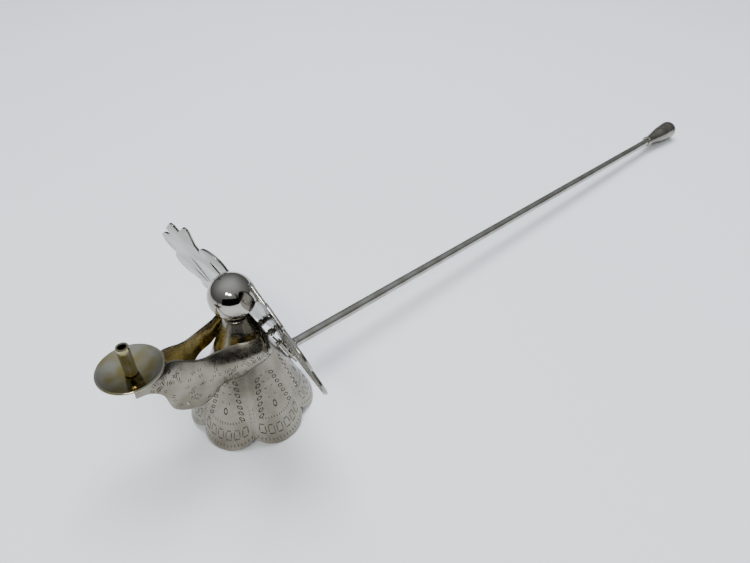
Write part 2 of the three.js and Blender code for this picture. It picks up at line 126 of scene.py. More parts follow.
def turned(name, rings, segments=96, loop=False):
    """A turned piece about Z, drawn out ring by ring from [radius, height] pairs in millimetres.
    Its open ends are filled, unless the rings make a closed loop."""
    deselect()
    radius, height = rings[0]
    bpy.ops.mesh.primitive_circle_add(vertices=segments, radius=radius * MM, location=(0, 0, 0))
    obj = bpy.context.object
    obj.name = name
    obj.data.name = name
    bpy.ops.object.mode_set(mode="EDIT")
    bpy.ops.mesh.select_all(action="SELECT")
    bpy.ops.transform.translate(value=(0, 0, height * MM))
    for next_radius, next_height in rings[1:] + (rings[:1] if loop else []):
        step = (0, 0, (next_height - height) * MM)
        bpy.ops.mesh.extrude_region_move(TRANSFORM_OT_translate={"value": step})
        scale = next_radius / radius
        bpy.ops.transform.resize(value=(scale, scale, 1), center_override=(0, 0, next_height * MM))
        radius, height = next_radius, next_height
    bpy.ops.mesh.select_all(action="SELECT")
    bpy.ops.mesh.remove_doubles(threshold=1e-6)
    if not loop:
        bpy.ops.mesh.select_all(action="SELECT")
        bpy.ops.mesh.fill_holes(sides=0)
    bpy.ops.mesh.select_all(action="SELECT")
    bpy.ops.mesh.normals_make_consistent(inside=False)
    bpy.ops.object.mode_set(mode="OBJECT")
    return obj


def round_profile(points, steps=6):
    """A smooth Catmull-Rom line through [radius, height] points."""
    line = []
    for i in range(len(points) - 1):
        a = points[max(i - 1, 0)]
        b, c = points[i], points[i + 1]
        d = points[min(i + 2, len(points) - 1)]
        for k in range(steps):
            line.append(tuple(catmull(a[j], b[j], c[j], d[j], k / steps) for j in range(len(b))))
    return line + [tuple(points[-1])]


def catmull(a, b, c, d, t):
    square, cube = t * t, t * t * t
    return 0.5 * (2 * b + (c - a) * t + (2 * a - 5 * b + 4 * c - d) * square + (3 * b - a - 3 * c + d) * cube)


def refined(node_name, width=0.12, angle=40):
    """A merged copy of a small CAD piece with its edges broken."""
    source = frame["nodes"][node_name]
    deselect()
    obj = bpy.data.objects.new(node_name + "_fine", source.data.copy())
    bpy.context.scene.collection.objects.link(obj)
    obj.data.materials.clear()
    activate(obj)
    bpy.ops.object.mode_set(mode="EDIT")
    bpy.ops.mesh.select_all(action="SELECT")
    bpy.ops.mesh.remove_doubles(threshold=2e-6)
    bpy.ops.mesh.dissolve_limited(angle_limit=math.radians(2))
    bpy.ops.object.mode_set(mode="OBJECT")
    modify(obj, "BEVEL", width=width * MM, segments=2, limit_method="ANGLE", angle_limit=math.radians(angle))
    return obj


# ---- sizes of the handle, which its metal's streaks follow -----------------------------------------------

PIN = Vector(frame["joints"][0]["pos_m"])
PIN_HEIGHT = PIN.z / MM
HANDLE_LENGTH, FINIAL_LENGTH, FINIAL_RADIUS, FINIAL_NECK = 253.7, 24.7, 4.4, 2.1
ROD_RADIUS, ROD_START, FINIAL_START = 1.6, 3.53, HANDLE_LENGTH - FINIAL_LENGTH
COLLAR_RADIUS, COLLAR_LENGTH, SPIGOT_RADIUS, GAP = 2.5, 1.4, 1.1, 0.3

# ---- materials -----------------------------------------------------------------------------------------


# Where a metal's darker colour ends and its lighter one begins in the noise, and its fine marks' depth in mm.
DARK_END, LIGHT_START, FINE_MARK_DEPTH = 0.36, 0.6, 0.05


def metal(name, light, dark, patch_mm, rough, bump_mm, stretch=(1, 1, 1), turn=(0, 0, 0), bump=0.05):
    """A metal whose colour drifts in soft patches and whose surface has fine marks of a given size."""
    material = bpy.data.materials.new(name)
    material.use_nodes = True
    shader = material.node_tree.nodes["Principled BSDF"]
    shader.inputs["Metallic"].default_value = 1.0
    place = node(material, "ShaderNodeTexCoord").outputs["Object"]
    patches = node(
        material, "ShaderNodeTexNoise",
        {"Scale": 1 / (patch_mm * MM), "Detail": 1.5, "Roughness": 0.45}, {"Vector": place},
    ).outputs["Fac"]
    colours = node(material, "ShaderNodeValToRGB", links={"Fac": patches})
    colours.color_ramp.elements[0].position = DARK_END
    colours.color_ramp.elements[0].color = linear(dark)
    colours.color_ramp.elements[1].position = LIGHT_START
    colours.color_ramp.elements[1].color = linear(light)
    turned_place = node(
        material, "ShaderNodeMapping",
        {"vector_type": "TEXTURE", "Scale": stretch, "Rotation": turn}, {"Vector": place},
    ).outputs["Vector"]
    marks = node(
        material, "ShaderNodeTexNoise",
        {"Scale": 1 / (bump_mm * MM), "Detail": 1.5}, {"Vector": turned_place},
    ).outputs["Fac"]
    roughness = node(
        material, "ShaderNodeMapRange",
        {"From Min": 0.3, "From Max": 0.7, "To Min": rough[0], "To Max": rough[1]}, {"Value": marks},
    ).outputs["Result"]
    relief = node(
        material, "ShaderNodeBump", {"Strength": bump, "Distance": FINE_MARK_DEPTH * MM},
        {"Height": marks},
    ).outputs["Normal"]
    links = material.node_tree.links
    links.new(colours.outputs["Color"], shader.inputs["Base Color"])
    links.new(roughness, shader.inputs["Roughness"])
    links.new(relief, shader.inputs["Normal"])
    return material


# Silver plate on chased brass sheet: satin, a little yellow where the plate has aged.
satin_silver = metal("satin_silver_plate", "#8E897D", "#7A7468", 7, (0.2, 0.28), 1.3, bump=0.02)
# The same plate on a pressed and buffed piece: a mirror with faint wiping marks.
mirror_silver = metal("buffed_silver_plate", "#ABA79F", "#98938A", 6, (0.04, 0.1), 1.5, bump=0.01)
# The dish's plate is thin, so that the brass tints it in patches.
thin_silver = metal("thin_silver_plate_on_brass", "#A3A092", "#918658", 5, (0.08, 0.16), 1.5, bump=0.02)
# Plate on sawn sheet for the wings, lighter and whiter where it was brushed.
wing_silver = metal("brushed_silver_plate", "#9A9892", "#86837B", 7, (0.16, 0.24), 0.9, bump=0.02)
# Drawn rod: its marks are long streaks along the rod.
ROD_SLOPE = math.asin((PIN_HEIGHT - FINIAL_RADIUS) / (HANDLE_LENGTH - FINIAL_RADIUS))
drawn_silver = metal(
    "drawn_silver_plated_rod", "#ABA8A1", "#9A968D", 6, (0.16, 0.22), 0.4,
    stretch=(1, 60, 1), turn=(-ROD_SLOPE, 0, 0), bump=0.03,
)
# The inside of the sleeves was lacquered, not plated: golden brass that has gone brown in places.
lacquered_brass = metal("lacquered_brass", "#B9A55A", "#847236", 6, (0.16, 0.26), 1.4, bump=0.03)
# Bottoms of the punched and chased marks: tarnish and polish that stay there, and the groove's shade painted
# in the same dark colour.
tarnish_and_painted_shade = metal("tarnish_and_painted_shade_in_chased_marks", "#4B463D", "#35312B", 1, (0.35, 0.55), 0.4)
# Turned steel of the screw, washer and pin.
plain_steel = metal("turned_steel", "#A9A9A8", "#8C8C8B", 2, (0.25, 0.4), 0.15, bump=0.08)

# ---- robe: the snuffing bell ---------------------------------------------------------------------------

ROBE_LOW, ROBE_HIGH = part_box("robe_bell")
FIGURE = (ROBE_LOW + ROBE_HIGH) / 2
FIGURE.z = 0
ROBE_HEIGHT, RIM_RADIUS, NECK_RADIUS, WALL = 36.4, 18.7, 3.3, 0.8
PETALS, PETAL_BULGE, PETAL_FADE, SCALLOP = 6, 1.05, 3, 3.3
FLAT_SHARE = 0.97
ROBE_ROWS = 44


def valley(angle):
    share = ((angle + math.pi / 2) / (2 * math.pi) * PETALS) % 1
    return 1 - min(1, (4 * share * (1 - share) / FLAT_SHARE) ** 0.7)


def robe_radius(angle, height):
    dip = valley(angle)
    bottom = SCALLOP * dip
    up = (height - bottom) / (ROBE_HEIGHT - bottom)
    cone = NECK_RADIUS + (RIM_RADIUS - NECK_RADIUS) * (1 - height / ROBE_HEIGHT)
    return cone - PETAL_BULGE * dip * (1 - up) ** PETAL_FADE


def robe_point(angle, height):
    radius = robe_radius(angle, height)
    return FIGURE + Vector((radius * math.cos(angle), radius * math.sin(angle), height)) * MM


def robe_bell():
    rings = []
    for row in range(ROBE_ROWS + 1):
        height = ROBE_HEIGHT * row / ROBE_ROWS
        rings.append((RIM_RADIUS + (NECK_RADIUS - RIM_RADIUS) * row / ROBE_ROWS, height))
    obj = turned("robe", rings + [(1.4, ROBE_HEIGHT)], segments=PETALS * 48)
    activate(obj)
    bpy.ops.object.mode_set(mode="EDIT")
    bpy.ops.mesh.select_mode(type="FACE")
    bpy.ops.mesh.select_all(action="DESELECT")
    bpy.ops.mesh.select_face_by_sides(number=4, type="GREATER")
    bpy.ops.mesh.delete(type="ONLY_FACE")
    bpy.ops.mesh.select_mode(type="VERT")
    bpy.ops.object.mode_set(mode="OBJECT")
    for vertex in obj.data.vertices:
        x, y, z = vertex.co / MM
        if math.hypot(x, y) < NECK_RADIUS - 0.01:
            continue
        angle = math.atan2(y, x)
        bottom = SCALLOP * valley(angle)
        height = bottom + (ROBE_HEIGHT - bottom) * z / ROBE_HEIGHT
        vertex.co = robe_point(angle, height) - FIGURE
    modify(obj, "SOLIDIFY", thickness=WALL * MM, offset=-1, use_even_offset=True)
    modify(obj, "BEVEL", width=0.2 * MM, segments=3, limit_method="ANGLE", angle_limit=math.radians(50))
    settle(obj, Matrix.Translation(FIGURE))
    return finish(obj, "figure", satin_silver, ["robe_bell"], angle=50)


# ---- chased marks --------------------------------------------------------------------------------------

MARK_HEIGHT = 0.05  # millimetres that a punch's burr stands up beside its mark
# Heights within a mark, in burrs. Its foot is sunk in the sheet, so that no gap shows where the sheet curves.
FOOT, LIP = -1.2, 1.0


def mark_template():
    """One punched stroke, 1 long and 1 wide: a groove between two raised lips, closed underneath, its bottom
    painted dark for tarnish and for the shade in it.
    """
    deselect()
    bpy.ops.mesh.primitive_grid_add(x_subdivisions=4, y_subdivisions=4, size=1)
    obj = bpy.context.object
    obj.data.materials.append(satin_silver)
    obj.data.materials.append(tarnish_and_painted_shade)
    lift = {0: FOOT, 1: LIP, 2: -0.1, 3: LIP, 4: FOOT}
    for vertex in obj.data.vertices:
        row = round((vertex.co.y + 0.5) * 4)
        taper = math.sqrt(max(0.08, 1 - (2 * vertex.co.x) ** 2))
        vertex.co.y *= taper if row in (0, 4) else taper * 0.9
        vertex.co.z = lift[row] if abs(vertex.co.x) < 0.45 else FOOT
    activate(obj)
    bpy.ops.object.mode_set(mode="EDIT")
    bpy.ops.mesh.select_all(action="SELECT")
    bpy.ops.mesh.fill_holes(sides=0)
    bpy.ops.object.mode_set(mode="OBJECT")
    # The groove's middle gets the dark material: tarnish, and the groove's shade painted in.
    for face in obj.data.polygons:
        face.material_index = 1 if abs(face.center.y) < 0.26 and face.normal.z > 0 else 0
    return obj


def ring_template():
    """One punched ring, 1 long and 1 wide, with a groove along it whose bottom is painted dark for tarnish
    and shade, closed underneath.
    """
    rings = [(0.5, FOOT), (0.46, LIP), (0.38, 0.0), (0.3, LIP), (0.26, FOOT)]
    deselect()
    bpy.ops.mesh.primitive_circle_add(vertices=16, radius=rings[0][0])
    obj = bpy.context.object
    obj.data.materials.append(satin_silver)
    obj.data.materials.append(tarnish_and_painted_shade)
    bpy.ops.object.mode_set(mode="EDIT")
    bpy.ops.mesh.select_all(action="SELECT")
    bpy.ops.transform.translate(value=(0, 0, rings[0][1]))
    for (radius, height), (next_radius, next_height) in zip(rings, rings[1:]):
        bpy.ops.mesh.extrude_region_move(TRANSFORM_OT_translate={"value": (0, 0, next_height - height)})
        scale = next_radius / radius
        bpy.ops.transform.resize(value=(scale, scale, 1), center_override=(0, 0, 0))
    bpy.ops.mesh.select_mode(type="EDGE")
    bpy.ops.mesh.select_all(action="DESELECT")
    bpy.ops.mesh.select_non_manifold(extend=False, use_boundary=True, use_wire=False, use_multi_face=False,
                                     use_non_contiguous=False, use_verts=False)
    bpy.ops.mesh.bridge_edge_loops()
    bpy.ops.mesh.select_mode(type="VERT")
    bpy.ops.mesh.select_all(action="SELECT")
    bpy.ops.mesh.normals_make_consistent(inside=False)
    bpy.ops.object.mode_set(mode="OBJECT")
    # The groove's middle gets the dark material: tarnish, and the groove's shade painted in.
    for face in obj.data.polygons:
        dark = 0.3 < face.center.to_2d().length < 0.43 and face.normal.z > 0
        face.material_index = 1 if dark else 0
    return obj


def stamped(name, places):
    """Copies of a template as one piece, each from (template, point, along, normal, length, width)."""
    mesh = bpy.data.meshes.new(name)
    grown = bmesh.new()
    for template, point, along, normal, length, width in places:
        across = normal.cross(along).normalized()
        turn = Matrix((along, across, normal)).transposed().to_4x4()
        size = Matrix.Diagonal((length * MM, width * MM, MARK_HEIGHT * MM, 1))
        copy = template.data.copy()
        copy.transform(Matrix.Translation(point) @ turn @ size)
        grown.from_mesh(copy)
        bpy.data.meshes.remove(copy)
    grown.to_mesh(mesh)
    grown.free()
    obj = bpy.data.objects.new(name, mesh)
    bpy.context.scene.collection.objects.link(obj)
    return finish(obj, "figure", [satin_silver, tarnish_and_painted_shade], angle=60)


def on_robe(angle, up):
    """Point, upward direction and normal on the robe, up millimetres above its edge at an angle."""
    slope = math.cos(math.atan((RIM_RADIUS - NECK_RADIUS) / ROBE_HEIGHT))

    def at(place_angle, place_up):
        return robe_point(place_angle, SCALLOP * valley(place_angle) + place_up * slope)

    point = at(angle, up)
    rise = (at(angle, up + 0.1) - point).normalized()
    round_ = (at(angle + 0.01, up) - at(angle - 0.01, up)).normalized()
    normal = round_.cross(rise).normalized()
    return point, normal.cross(round_).normalized(), normal


def robe_line(places, angle_1, up_1, angle_2, up_2, width):
    """A straight chased line between two points of the robe."""
    first, _, _ = on_robe(angle_1, up_1)
    last, _, _ = on_robe(angle_2, up_2)
    middle, _, normal = on_robe((angle_1 + angle_2) / 2, (up_1 + up_2) / 2)
    along = last - first
    length = along.length / MM
    along = (along - normal * along.dot(normal)).normalized()
    places.append((stroke, middle, along, normal, length + width / 2, width))


# Marks on each petal, in millimetres upwards from its edge unless they say otherwise.
# Rows of ticks: ticks either side of the middle, share of the petal they reach, lower end, upper end, width.
TICK_ROWS = ((8, 0.45, 1.0, 2.2, 0.4), (7, 0.36, 8.3, 9.3, 0.42))
FRAMES, FRAME_LOW, FRAME_HIGH, FRAME_LINE = 6, 3.6, 6.5, 0.5
FRAME_STEP, FRAME_FOOT, FRAME_HEAD = math.radians(8.5), math.radians(3.0), math.radians(2.6)
PETAL_DROP_UP, PETAL_DROP_LENGTH, PETAL_DROP_WIDTH = 12.6, 2.5, 1.3
EDGE_DROPS, EDGE_DROP_UP, EDGE_DROP_STEP, EDGE_DROP_ASIDE, EDGE_DROP_SLANT = 7, 9.5, 1.95, 2.5, 0.5
EDGE_DROP_LENGTH, EDGE_DROP_WIDTH = 1.9, 1.05
EDGE_DASHES, EDGE_DASH_UP, EDGE_DASH_STEP, EDGE_DASH_LENGTH, EDGE_DASH_WIDTH = 4, 6.0, 1.3, 0.55, 0.3


def robe_chasing():
    places = []
    step = 2 * math.pi / PETALS
    for petal in range(PETALS):
        middle = -math.pi / 2 + step * (petal + 0.5)
        for either_side, share, low, high, width in TICK_ROWS:
            for k in range(2 * either_side + 1):
                angle = middle + step * share * (k / either_side - 1)
                robe_line(places, angle, low, angle, high, width)
        for k in range(FRAMES):
            angle = middle + FRAME_STEP * (k - (FRAMES - 1) / 2)
            corners = [
                (angle - FRAME_FOOT, FRAME_LOW), (angle + FRAME_FOOT, FRAME_LOW),
                (angle + FRAME_HEAD, FRAME_HIGH), (angle - FRAME_HEAD, FRAME_HIGH),
            ]
            for (a, u), (b, v) in zip(corners, corners[1:] + corners[:1]):
                robe_line(places, a, u, b, v, FRAME_LINE)
        point, rise, normal = on_robe(middle, PETAL_DROP_UP)
        places.append((ring, point, rise, normal, PETAL_DROP_LENGTH, PETAL_DROP_WIDTH))
        for side in (-1, 1):
            angle = middle + side * math.radians(4.2)
            robe_line(places, angle, 14.6, angle + side * 0.02, 15.8, 0.34)
            for k in range(3):
                up = 18 + 2.2 * k
                angle = middle + side * math.radians(2.4)
                robe_line(places, angle, up, angle + side * math.radians(5), up + 0.3, 0.32)
        edge = middle - step / 2
        for side in (-1, 1):
            for k in range(EDGE_DROPS):
                up = EDGE_DROP_UP + EDGE_DROP_STEP * k
                place = edge + side * EDGE_DROP_ASIDE / robe_radius(edge, up + 3)
                point, rise, normal = on_robe(place, up)
                across = normal.cross(rise)
                slant = across * math.sin(EDGE_DROP_SLANT) * side
                along = (rise * math.cos(EDGE_DROP_SLANT) - slant).normalized()
                places.append((ring, point, along, normal, EDGE_DROP_LENGTH, EDGE_DROP_WIDTH))
            for k in range(EDGE_DASHES):
                up = EDGE_DASH_UP + EDGE_DASH_STEP * k
                angle = edge + side * 0.55 / 15
                robe_line(places, angle, up, angle, up + EDGE_DASH_LENGTH, EDGE_DASH_WIDTH)
    return stamped("robe_chasing", places)


stroke = mark_template()
ring = ring_template()

robe_bell()
robe_chasing()

# ---- sleeves -------------------------------------------------------------------------------------------

# Edges of the left sleeve. Round the shoulder: degrees round the robe from +X, distance out from the robe,
# and distance below the robe's top. Along the arm: distance from the middle plane, distance behind the
# dish's centre, and distance below the robe's top.
SLEEVE_TOP = (
    [(35, 0.7, 5.0), (15, 2.8, 4.2), (-9, 2.6, 3.8), (-32, 2.6, 3.7), (-52, 4.0, 3.6), (-64, 6.2, 3.7)],
    [
        (4.4, 16.8, 4.0), (3.8, 14.1, 3.3), (3.0, 11.5, 1.9),
        (2.2, 8.7, 1.0), (1.6, 4.6, 1.5), (1.5, -1.4, 1.8),
    ],
)
SLEEVE_BOTTOM = (
    [(29, 0.7, 12.0), (7, 1.3, 11.4), (-14, 0.9, 12.2), (-34, 1.1, 13.4), (-51, 2.7, 13.3), (-60, 4.0, 14.4)],
    [
        (5.8, 14.5, 18.0), (5.3, 10.0, 17.8), (4.7, 5.8, 14.8),
        (3.9, 4.5, 9.4), (3.5, 1.7, 6.6), (3.2, -1.9, 5.9),
    ],
)
DISH_REACH = 30.1
SLEEVE_WALL, SHOULDER_BULGE, HAND_BULGE = 0.7, 2.0, 0.4


def sleeve_edge(edge):
    shoulder, arm = edge
    points = []
    for degrees, out, below in shoulder:
        angle = math.radians(degrees)
        radius = NECK_RADIUS + (RIM_RADIUS - NECK_RADIUS) * below / ROBE_HEIGHT + out
        points.append((radius * math.cos(angle), radius * math.sin(angle), ROBE_HEIGHT - below))
    return points + [(aside, behind - DISH_REACH, ROBE_HEIGHT - below) for aside, behind, below in arm]


SLEEVE_EDGES = sleeve_edge(SLEEVE_TOP), sleeve_edge(SLEEVE_BOTTOM)


def along_line(points, share):
    place = min(max(share, 0), 1) * (len(points) - 1)
    i = min(int(place), len(points) - 2)
    a, b, c = points[max(i - 1, 0)], points[i], points[i + 1]
    d = points[min(i + 2, len(points) - 1)]
    return Vector([catmull(a[j], b[j], c[j], d[j], place - i) for j in range(3)])


def sleeve_point(side, u, v):
    point = along_line(SLEEVE_EDGES[0], u).lerp(along_line(SLEEVE_EDGES[1], u), v)
    point.x += (SHOULDER_BULGE + (HAND_BULGE - SHOULDER_BULGE) * u) * 4 * v * (1 - v)
    point.x *= side
    return FIGURE + point * MM


def sleeve(side, name):
    across, down = 110, 26
    deselect()
    bpy.ops.mesh.primitive_grid_add(x_subdivisions=across, y_subdivisions=down, size=1)
    obj = bpy.context.object
    obj.name = name
    obj.data.name = name
    for vertex in obj.data.vertices:
        vertex.co = sleeve_point(side, vertex.co.x + 0.5, 0.5 - vertex.co.y)
    obj.data.materials.append(satin_silver)
    obj.data.materials.append(lacquered_brass)
    facing = sum((face.normal * face.area for face in obj.data.polygons), Vector())
    if facing.x * side < 0:
        activate(obj)
        bpy.ops.object.mode_set(mode="EDIT")
        bpy.ops.mesh.select_all(action="SELECT")
        bpy.ops.mesh.flip_normals()
        bpy.ops.object.mode_set(mode="OBJECT")
    modify(
        obj, "SOLIDIFY", thickness=SLEEVE_WALL * MM, offset=0, use_even_offset=True, material_offset=1
    )
    modify(obj, "BEVEL", width=0.15 * MM, segments=2, limit_method="ANGLE", angle_limit=math.radians(50))
    return finish(obj, "figure", [satin_silver, lacquered_brass], [name.split("_fine")[0]])


STROKE_PAIRS, STROKE_TILT, STROKE_ASIDE, STROKE_LENGTH, STROKE_WIDTH = 120, 0.9, 0.3, 1.3, 0.26


def sleeve_chasing(side, name, seed):
    """Pairs of short punched strokes, scattered over the outer side of a sleeve."""
    chooser = random.Random(seed)
    places = []
    for _ in range(STROKE_PAIRS):
        u, v = chooser.uniform(0.05, 0.93), chooser.uniform(0.1, 0.92)
        point = sleeve_point(side, u, v)
        du = sleeve_point(side, u + 0.01, v) - point
        dv = sleeve_point(side, u, v + 0.02) - point
        normal = du.cross(dv).normalized()
        if normal.x * side < 0:
            normal.negate()
        point = point + normal * SLEEVE_WALL / 2 * MM
        angle = chooser.uniform(-STROKE_TILT, STROKE_TILT)
        across = normal.cross(du).normalized()
        along = (across * math.cos(angle) + du.normalized() * math.sin(angle)).normalized()
        beside = normal.cross(along)
        for shift in (-STROKE_ASIDE, STROKE_ASIDE):
            place = point + beside * shift * MM
            places.append((stroke, place, along, normal, STROKE_LENGTH, STROKE_WIDTH))
    return stamped(name, places)


sleeve(1, "left_sleeve_fine")
sleeve(-1, "right_sleeve_fine")
sleeve_chasing(1, "left_sleeve_chasing", 4)
sleeve_chasing(-1, "right_sleeve_chasing", 9)

# ---- head ----------------------------------------------------------------------------------------------

HEAD_RADIUS = 6.5
BALL_LOW, BALL_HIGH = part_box("head_ball")


def head_ball():
    mouth = math.acos(1.4 / HEAD_RADIUS)
    rings = [(1.4, -1.5), (1.4, -HEAD_RADIUS * math.sin(mouth) + 0.1)]
    steps = 46
    for k in range(steps + 1):
        angle = -mouth + (math.pi / 2 + mouth) * k / steps
        rings.append((max(HEAD_RADIUS * math.cos(angle), 0.0001), HEAD_RADIUS * math.sin(angle)))
    obj = turned("head_ball_fine", rings, segments=120)
    settle(obj, Matrix.Translation(((BALL_LOW.x + BALL_HIGH.x) / 2, (BALL_LOW.y + BALL_HIGH.y) / 2,
                                    BALL_HIGH.z - HEAD_RADIUS * MM)))
    return finish(obj, "figure", mirror_silver, ["head_ball"], angle=60)


head_ball()

# ---- drip dish, candle tube and stem -------------------------------------------------------------------

DISH_LOW, DISH_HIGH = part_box("drip_dish")
DISH_CENTRE = Vector(((DISH_LOW.x + DISH_HIGH.x) / 2, (DISH_LOW.y + DISH_HIGH.y) / 2, 0))
DISH_RADIUS, DISH_DEPTH, DISH_WALL, DISH_RIM = 8.4, 2.3, 0.7, 38.0
TUBE_RADIUS, TUBE_BORE, TUBE_HEIGHT = 1.6, 1.0, 9.0


def dish_height(radius):
    sphere = (DISH_RADIUS**2 + DISH_DEPTH**2) / (2 * DISH_DEPTH)
    return DISH_RIM - DISH_DEPTH + sphere - math.sqrt(sphere**2 - radius**2)


def drip_dish():
    inner, steps = 1.0, 22
    lip = 0.35
    radii = [inner + (DISH_RADIUS - lip - inner) * k / steps for k in range(steps + 1)]
    rings = [(r, dish_height(r) - DISH_WALL) for r in radii]
    edge = dish_height(DISH_RADIUS - lip) - DISH_WALL / 2
    for k in range(1, 8):
        angle = -math.pi / 2 + math.pi * k / 8
        rings.append((DISH_RADIUS - lip + lip * math.cos(angle), edge + lip * math.sin(angle)))
    rings += [(r, dish_height(r)) for r in reversed(radii)]
    obj = turned("drip_dish_fine", rings, segments=120, loop=True)
    settle(obj, Matrix.Translation(DISH_CENTRE))
    return finish(obj, "figure", thin_silver, ["drip_dish"], angle=50)


def candle_tube():
    bottom = dish_height(TUBE_RADIUS) + 0.3
    top = bottom + TUBE_HEIGHT
    rings = [
        (TUBE_RADIUS, bottom), (TUBE_RADIUS, top - 0.5), (TUBE_RADIUS, top - 0.15),
        (TUBE_RADIUS - 0.12, top), (TUBE_BORE + 0.12, top), (TUBE_BORE, top - 0.15),
        (TUBE_BORE, top - 0.5), (TUBE_BORE, bottom),
    ]
    obj = turned("candle_tube_fine", rings, segments=64, loop=True)
    settle(obj, Matrix.Translation(DISH_CENTRE))
    return finish(obj, "figure", thin_silver, ["candle_tube"])


drip_dish()
candle_tube()

# ---- wings ---------------------------------------------------------------------------------------------

WING_WALL, WING_ZERO, WING_STAND_OFF, RIVET_HEIGHT = 0.7, 35.0, 2.74, 26.0
WING_LEAN, WING_SWEEP = math.radians(17.5), math.radians(8.8)
MIDDLE_CUTS = (-4, -2, 0, 2, 4)  # where the flat plate is cut across, so that it can bend between the wings
# Half of the plate laid flat: two numbers are a corner, five are a feather's round end with its centre, its
# radius and the degrees that its arc runs between, clockwise.
WING_EDGE = [
    (0, 4.5), (2.5, 4.5), (5.5, 7), (11.4, 12.8, 5.2, 180, 30), (16, 14), (16.5, 17.5),
    (15.7, 23.9, 1.1, 200, 45), (21, 21), (22.6, 22.3, 1.2, 180, 50), (26.2, 19, 1.4, 50, -45),
    (27, 17.5), (29.3, 10.6, 5.6, 90, -35), (33, 6.3), (31.3, 0.8, 5, 45, -85), (29.8, -6),
    (28.5, -8.3, 2.2, 40, -90), (16, -11.5), (0, -11.5),
]
WING_SLITS = [(24, 9, 22.5, -2.5, 0.9), (27, 2, 24, -3.5, 1), (13, 12.5, 11.5, 7, 1.6)]


def wing_outline():
    line = []
    for corner in WING_EDGE:
        if len(corner) == 2:
            line.append(corner)
            continue
        x, y, radius, start, end = corner
        steps = max(4, round((start - end) / 9))
        for k in range(steps + 1):
            angle = math.radians(start + (end - start) * k / steps)
            line.append((x + radius * math.cos(angle), y + radius * math.sin(angle)))
    return line


def slit_outline(x1, y1, x2, y2, width):
    """A long pointed opening between two feathers."""
    line = []
    start, end = Vector((x1, y1)), Vector((x2, y2))
    beside = (end - start).orthogonal().normalized() * width / 2
    for k in range(24):
        turn = 2 * math.pi * k / 24
        share = 0.5 - 0.5 * math.cos(turn)
        line.append(tuple(start.lerp(end, share) + beside * math.sin(turn)))
    return line


def add_outline(curve, line):
    spline = curve.splines.new("POLY")
    spline.points.add(len(line) - 1)
    for point, (x, y) in zip(spline.points, line):
        point.co = (x * MM, y * MM, 0, 1)
    spline.use_cyclic_u = True


def wing_plate():
    curve = bpy.data.curves.new("wings_outline", "CURVE")
    curve.dimensions = "2D"
    curve.fill_mode = "BOTH"
    half = wing_outline()
    add_outline(curve, half + [(-x, y) for x, y in reversed(half[1:-1])])
    for slit in WING_SLITS:
        line = slit_outline(*slit)
        add_outline(curve, line)
        add_outline(curve, [(-x, y) for x, y in line])
    bevel = 0.1
    curve.extrude = (WING_WALL / 2 - bevel) * MM
    curve.bevel_depth = bevel * MM
    curve.bevel_resolution = 2
    curve.offset = -bevel * MM
    obj = bpy.data.objects.new("wings", curve)
    bpy.context.scene.collection.objects.link(obj)
    activate(obj)
    bpy.ops.object.convert(target="MESH")
    obj = bpy.context.object
    bpy.ops.object.mode_set(mode="EDIT")
    for x in MIDDLE_CUTS:
        bpy.ops.mesh.select_all(action="SELECT")
        bpy.ops.mesh.bisect(plane_co=(x * MM, 0, 0), plane_no=(1, 0, 0))
    bpy.ops.object.mode_set(mode="OBJECT")
    for vertex in obj.data.vertices:
        x, y, z = vertex.co
        out = max(0.0, abs(x) - 0.5 * MM)
        forward = out * math.sin(WING_SWEEP)
        vertex.co.x = x - math.copysign(out * (1 - math.cos(WING_SWEEP)), x)
        vertex.co.z = z + forward
    tidy_normals(obj, merge=1e-7)
    stand = Matrix.Rotation(math.pi / 2, 4, "X")
    lean = Matrix.Rotation(WING_LEAN, 4, "X")
    at_rivets = NECK_RADIUS + (RIM_RADIUS - NECK_RADIUS) * (1 - RIVET_HEIGHT / ROBE_HEIGHT) + WING_STAND_OFF
    reach = at_rivets - (WING_ZERO - RIVET_HEIGHT) * math.tan(WING_LEAN)
    root = FIGURE + Vector((0, reach, WING_ZERO)) * MM
    settle(obj, Matrix.Translation(root) @ lean @ stand)
    return finish(obj, "figure", wing_silver, ["wing_plate"], angle=30)


wing_plate()

# ---- handle --------------------------------------------------------------------------------------------

HANDLE_PLACE = Matrix.Translation(PIN) @ Matrix.Rotation(-math.pi / 2 - ROD_SLOPE, 4, "X")


def handle_rod():
    end = FINIAL_START - 3 * GAP - COLLAR_LENGTH
    rings = [(ROD_RADIUS - 0.03, ROD_START), (ROD_RADIUS, ROD_START + 0.03)]
    rings += [(ROD_RADIUS, ROD_START + 0.2 + (end - ROD_START - 0.4) * k / 12) for k in range(1, 13)]
    rings += [(ROD_RADIUS - 0.15, end), (SPIGOT_RADIUS, end), (SPIGOT_RADIUS, FINIAL_START + 6)]
    obj = turned("handle_rod_fine", rings, segments=64)
    settle(obj, HANDLE_PLACE)
    return finish(obj, "handle", drawn_silver, ["handle_rod"])


def handle_collar():
    start = FINIAL_START - 2 * GAP - COLLAR_LENGTH
    hole = SPIGOT_RADIUS + GAP
    rings = [(hole, start), (COLLAR_RADIUS * 0.84, start)]
    for k in range(1, 8):
        angle = -math.pi / 2 + math.pi * k / 8
        swell = COLLAR_RADIUS * (0.84 + 0.16 * math.cos(angle))
        rings.append((swell, start + COLLAR_LENGTH * (0.5 + 0.5 * math.sin(angle))))
    rings += [(COLLAR_RADIUS * 0.84, start + COLLAR_LENGTH), (hole, start + COLLAR_LENGTH)]
    obj = turned("finial_collar_fine", rings, segments=64, loop=True)
    settle(obj, HANDLE_PLACE)
    return finish(obj, "handle", drawn_silver, ["finial_collar"])


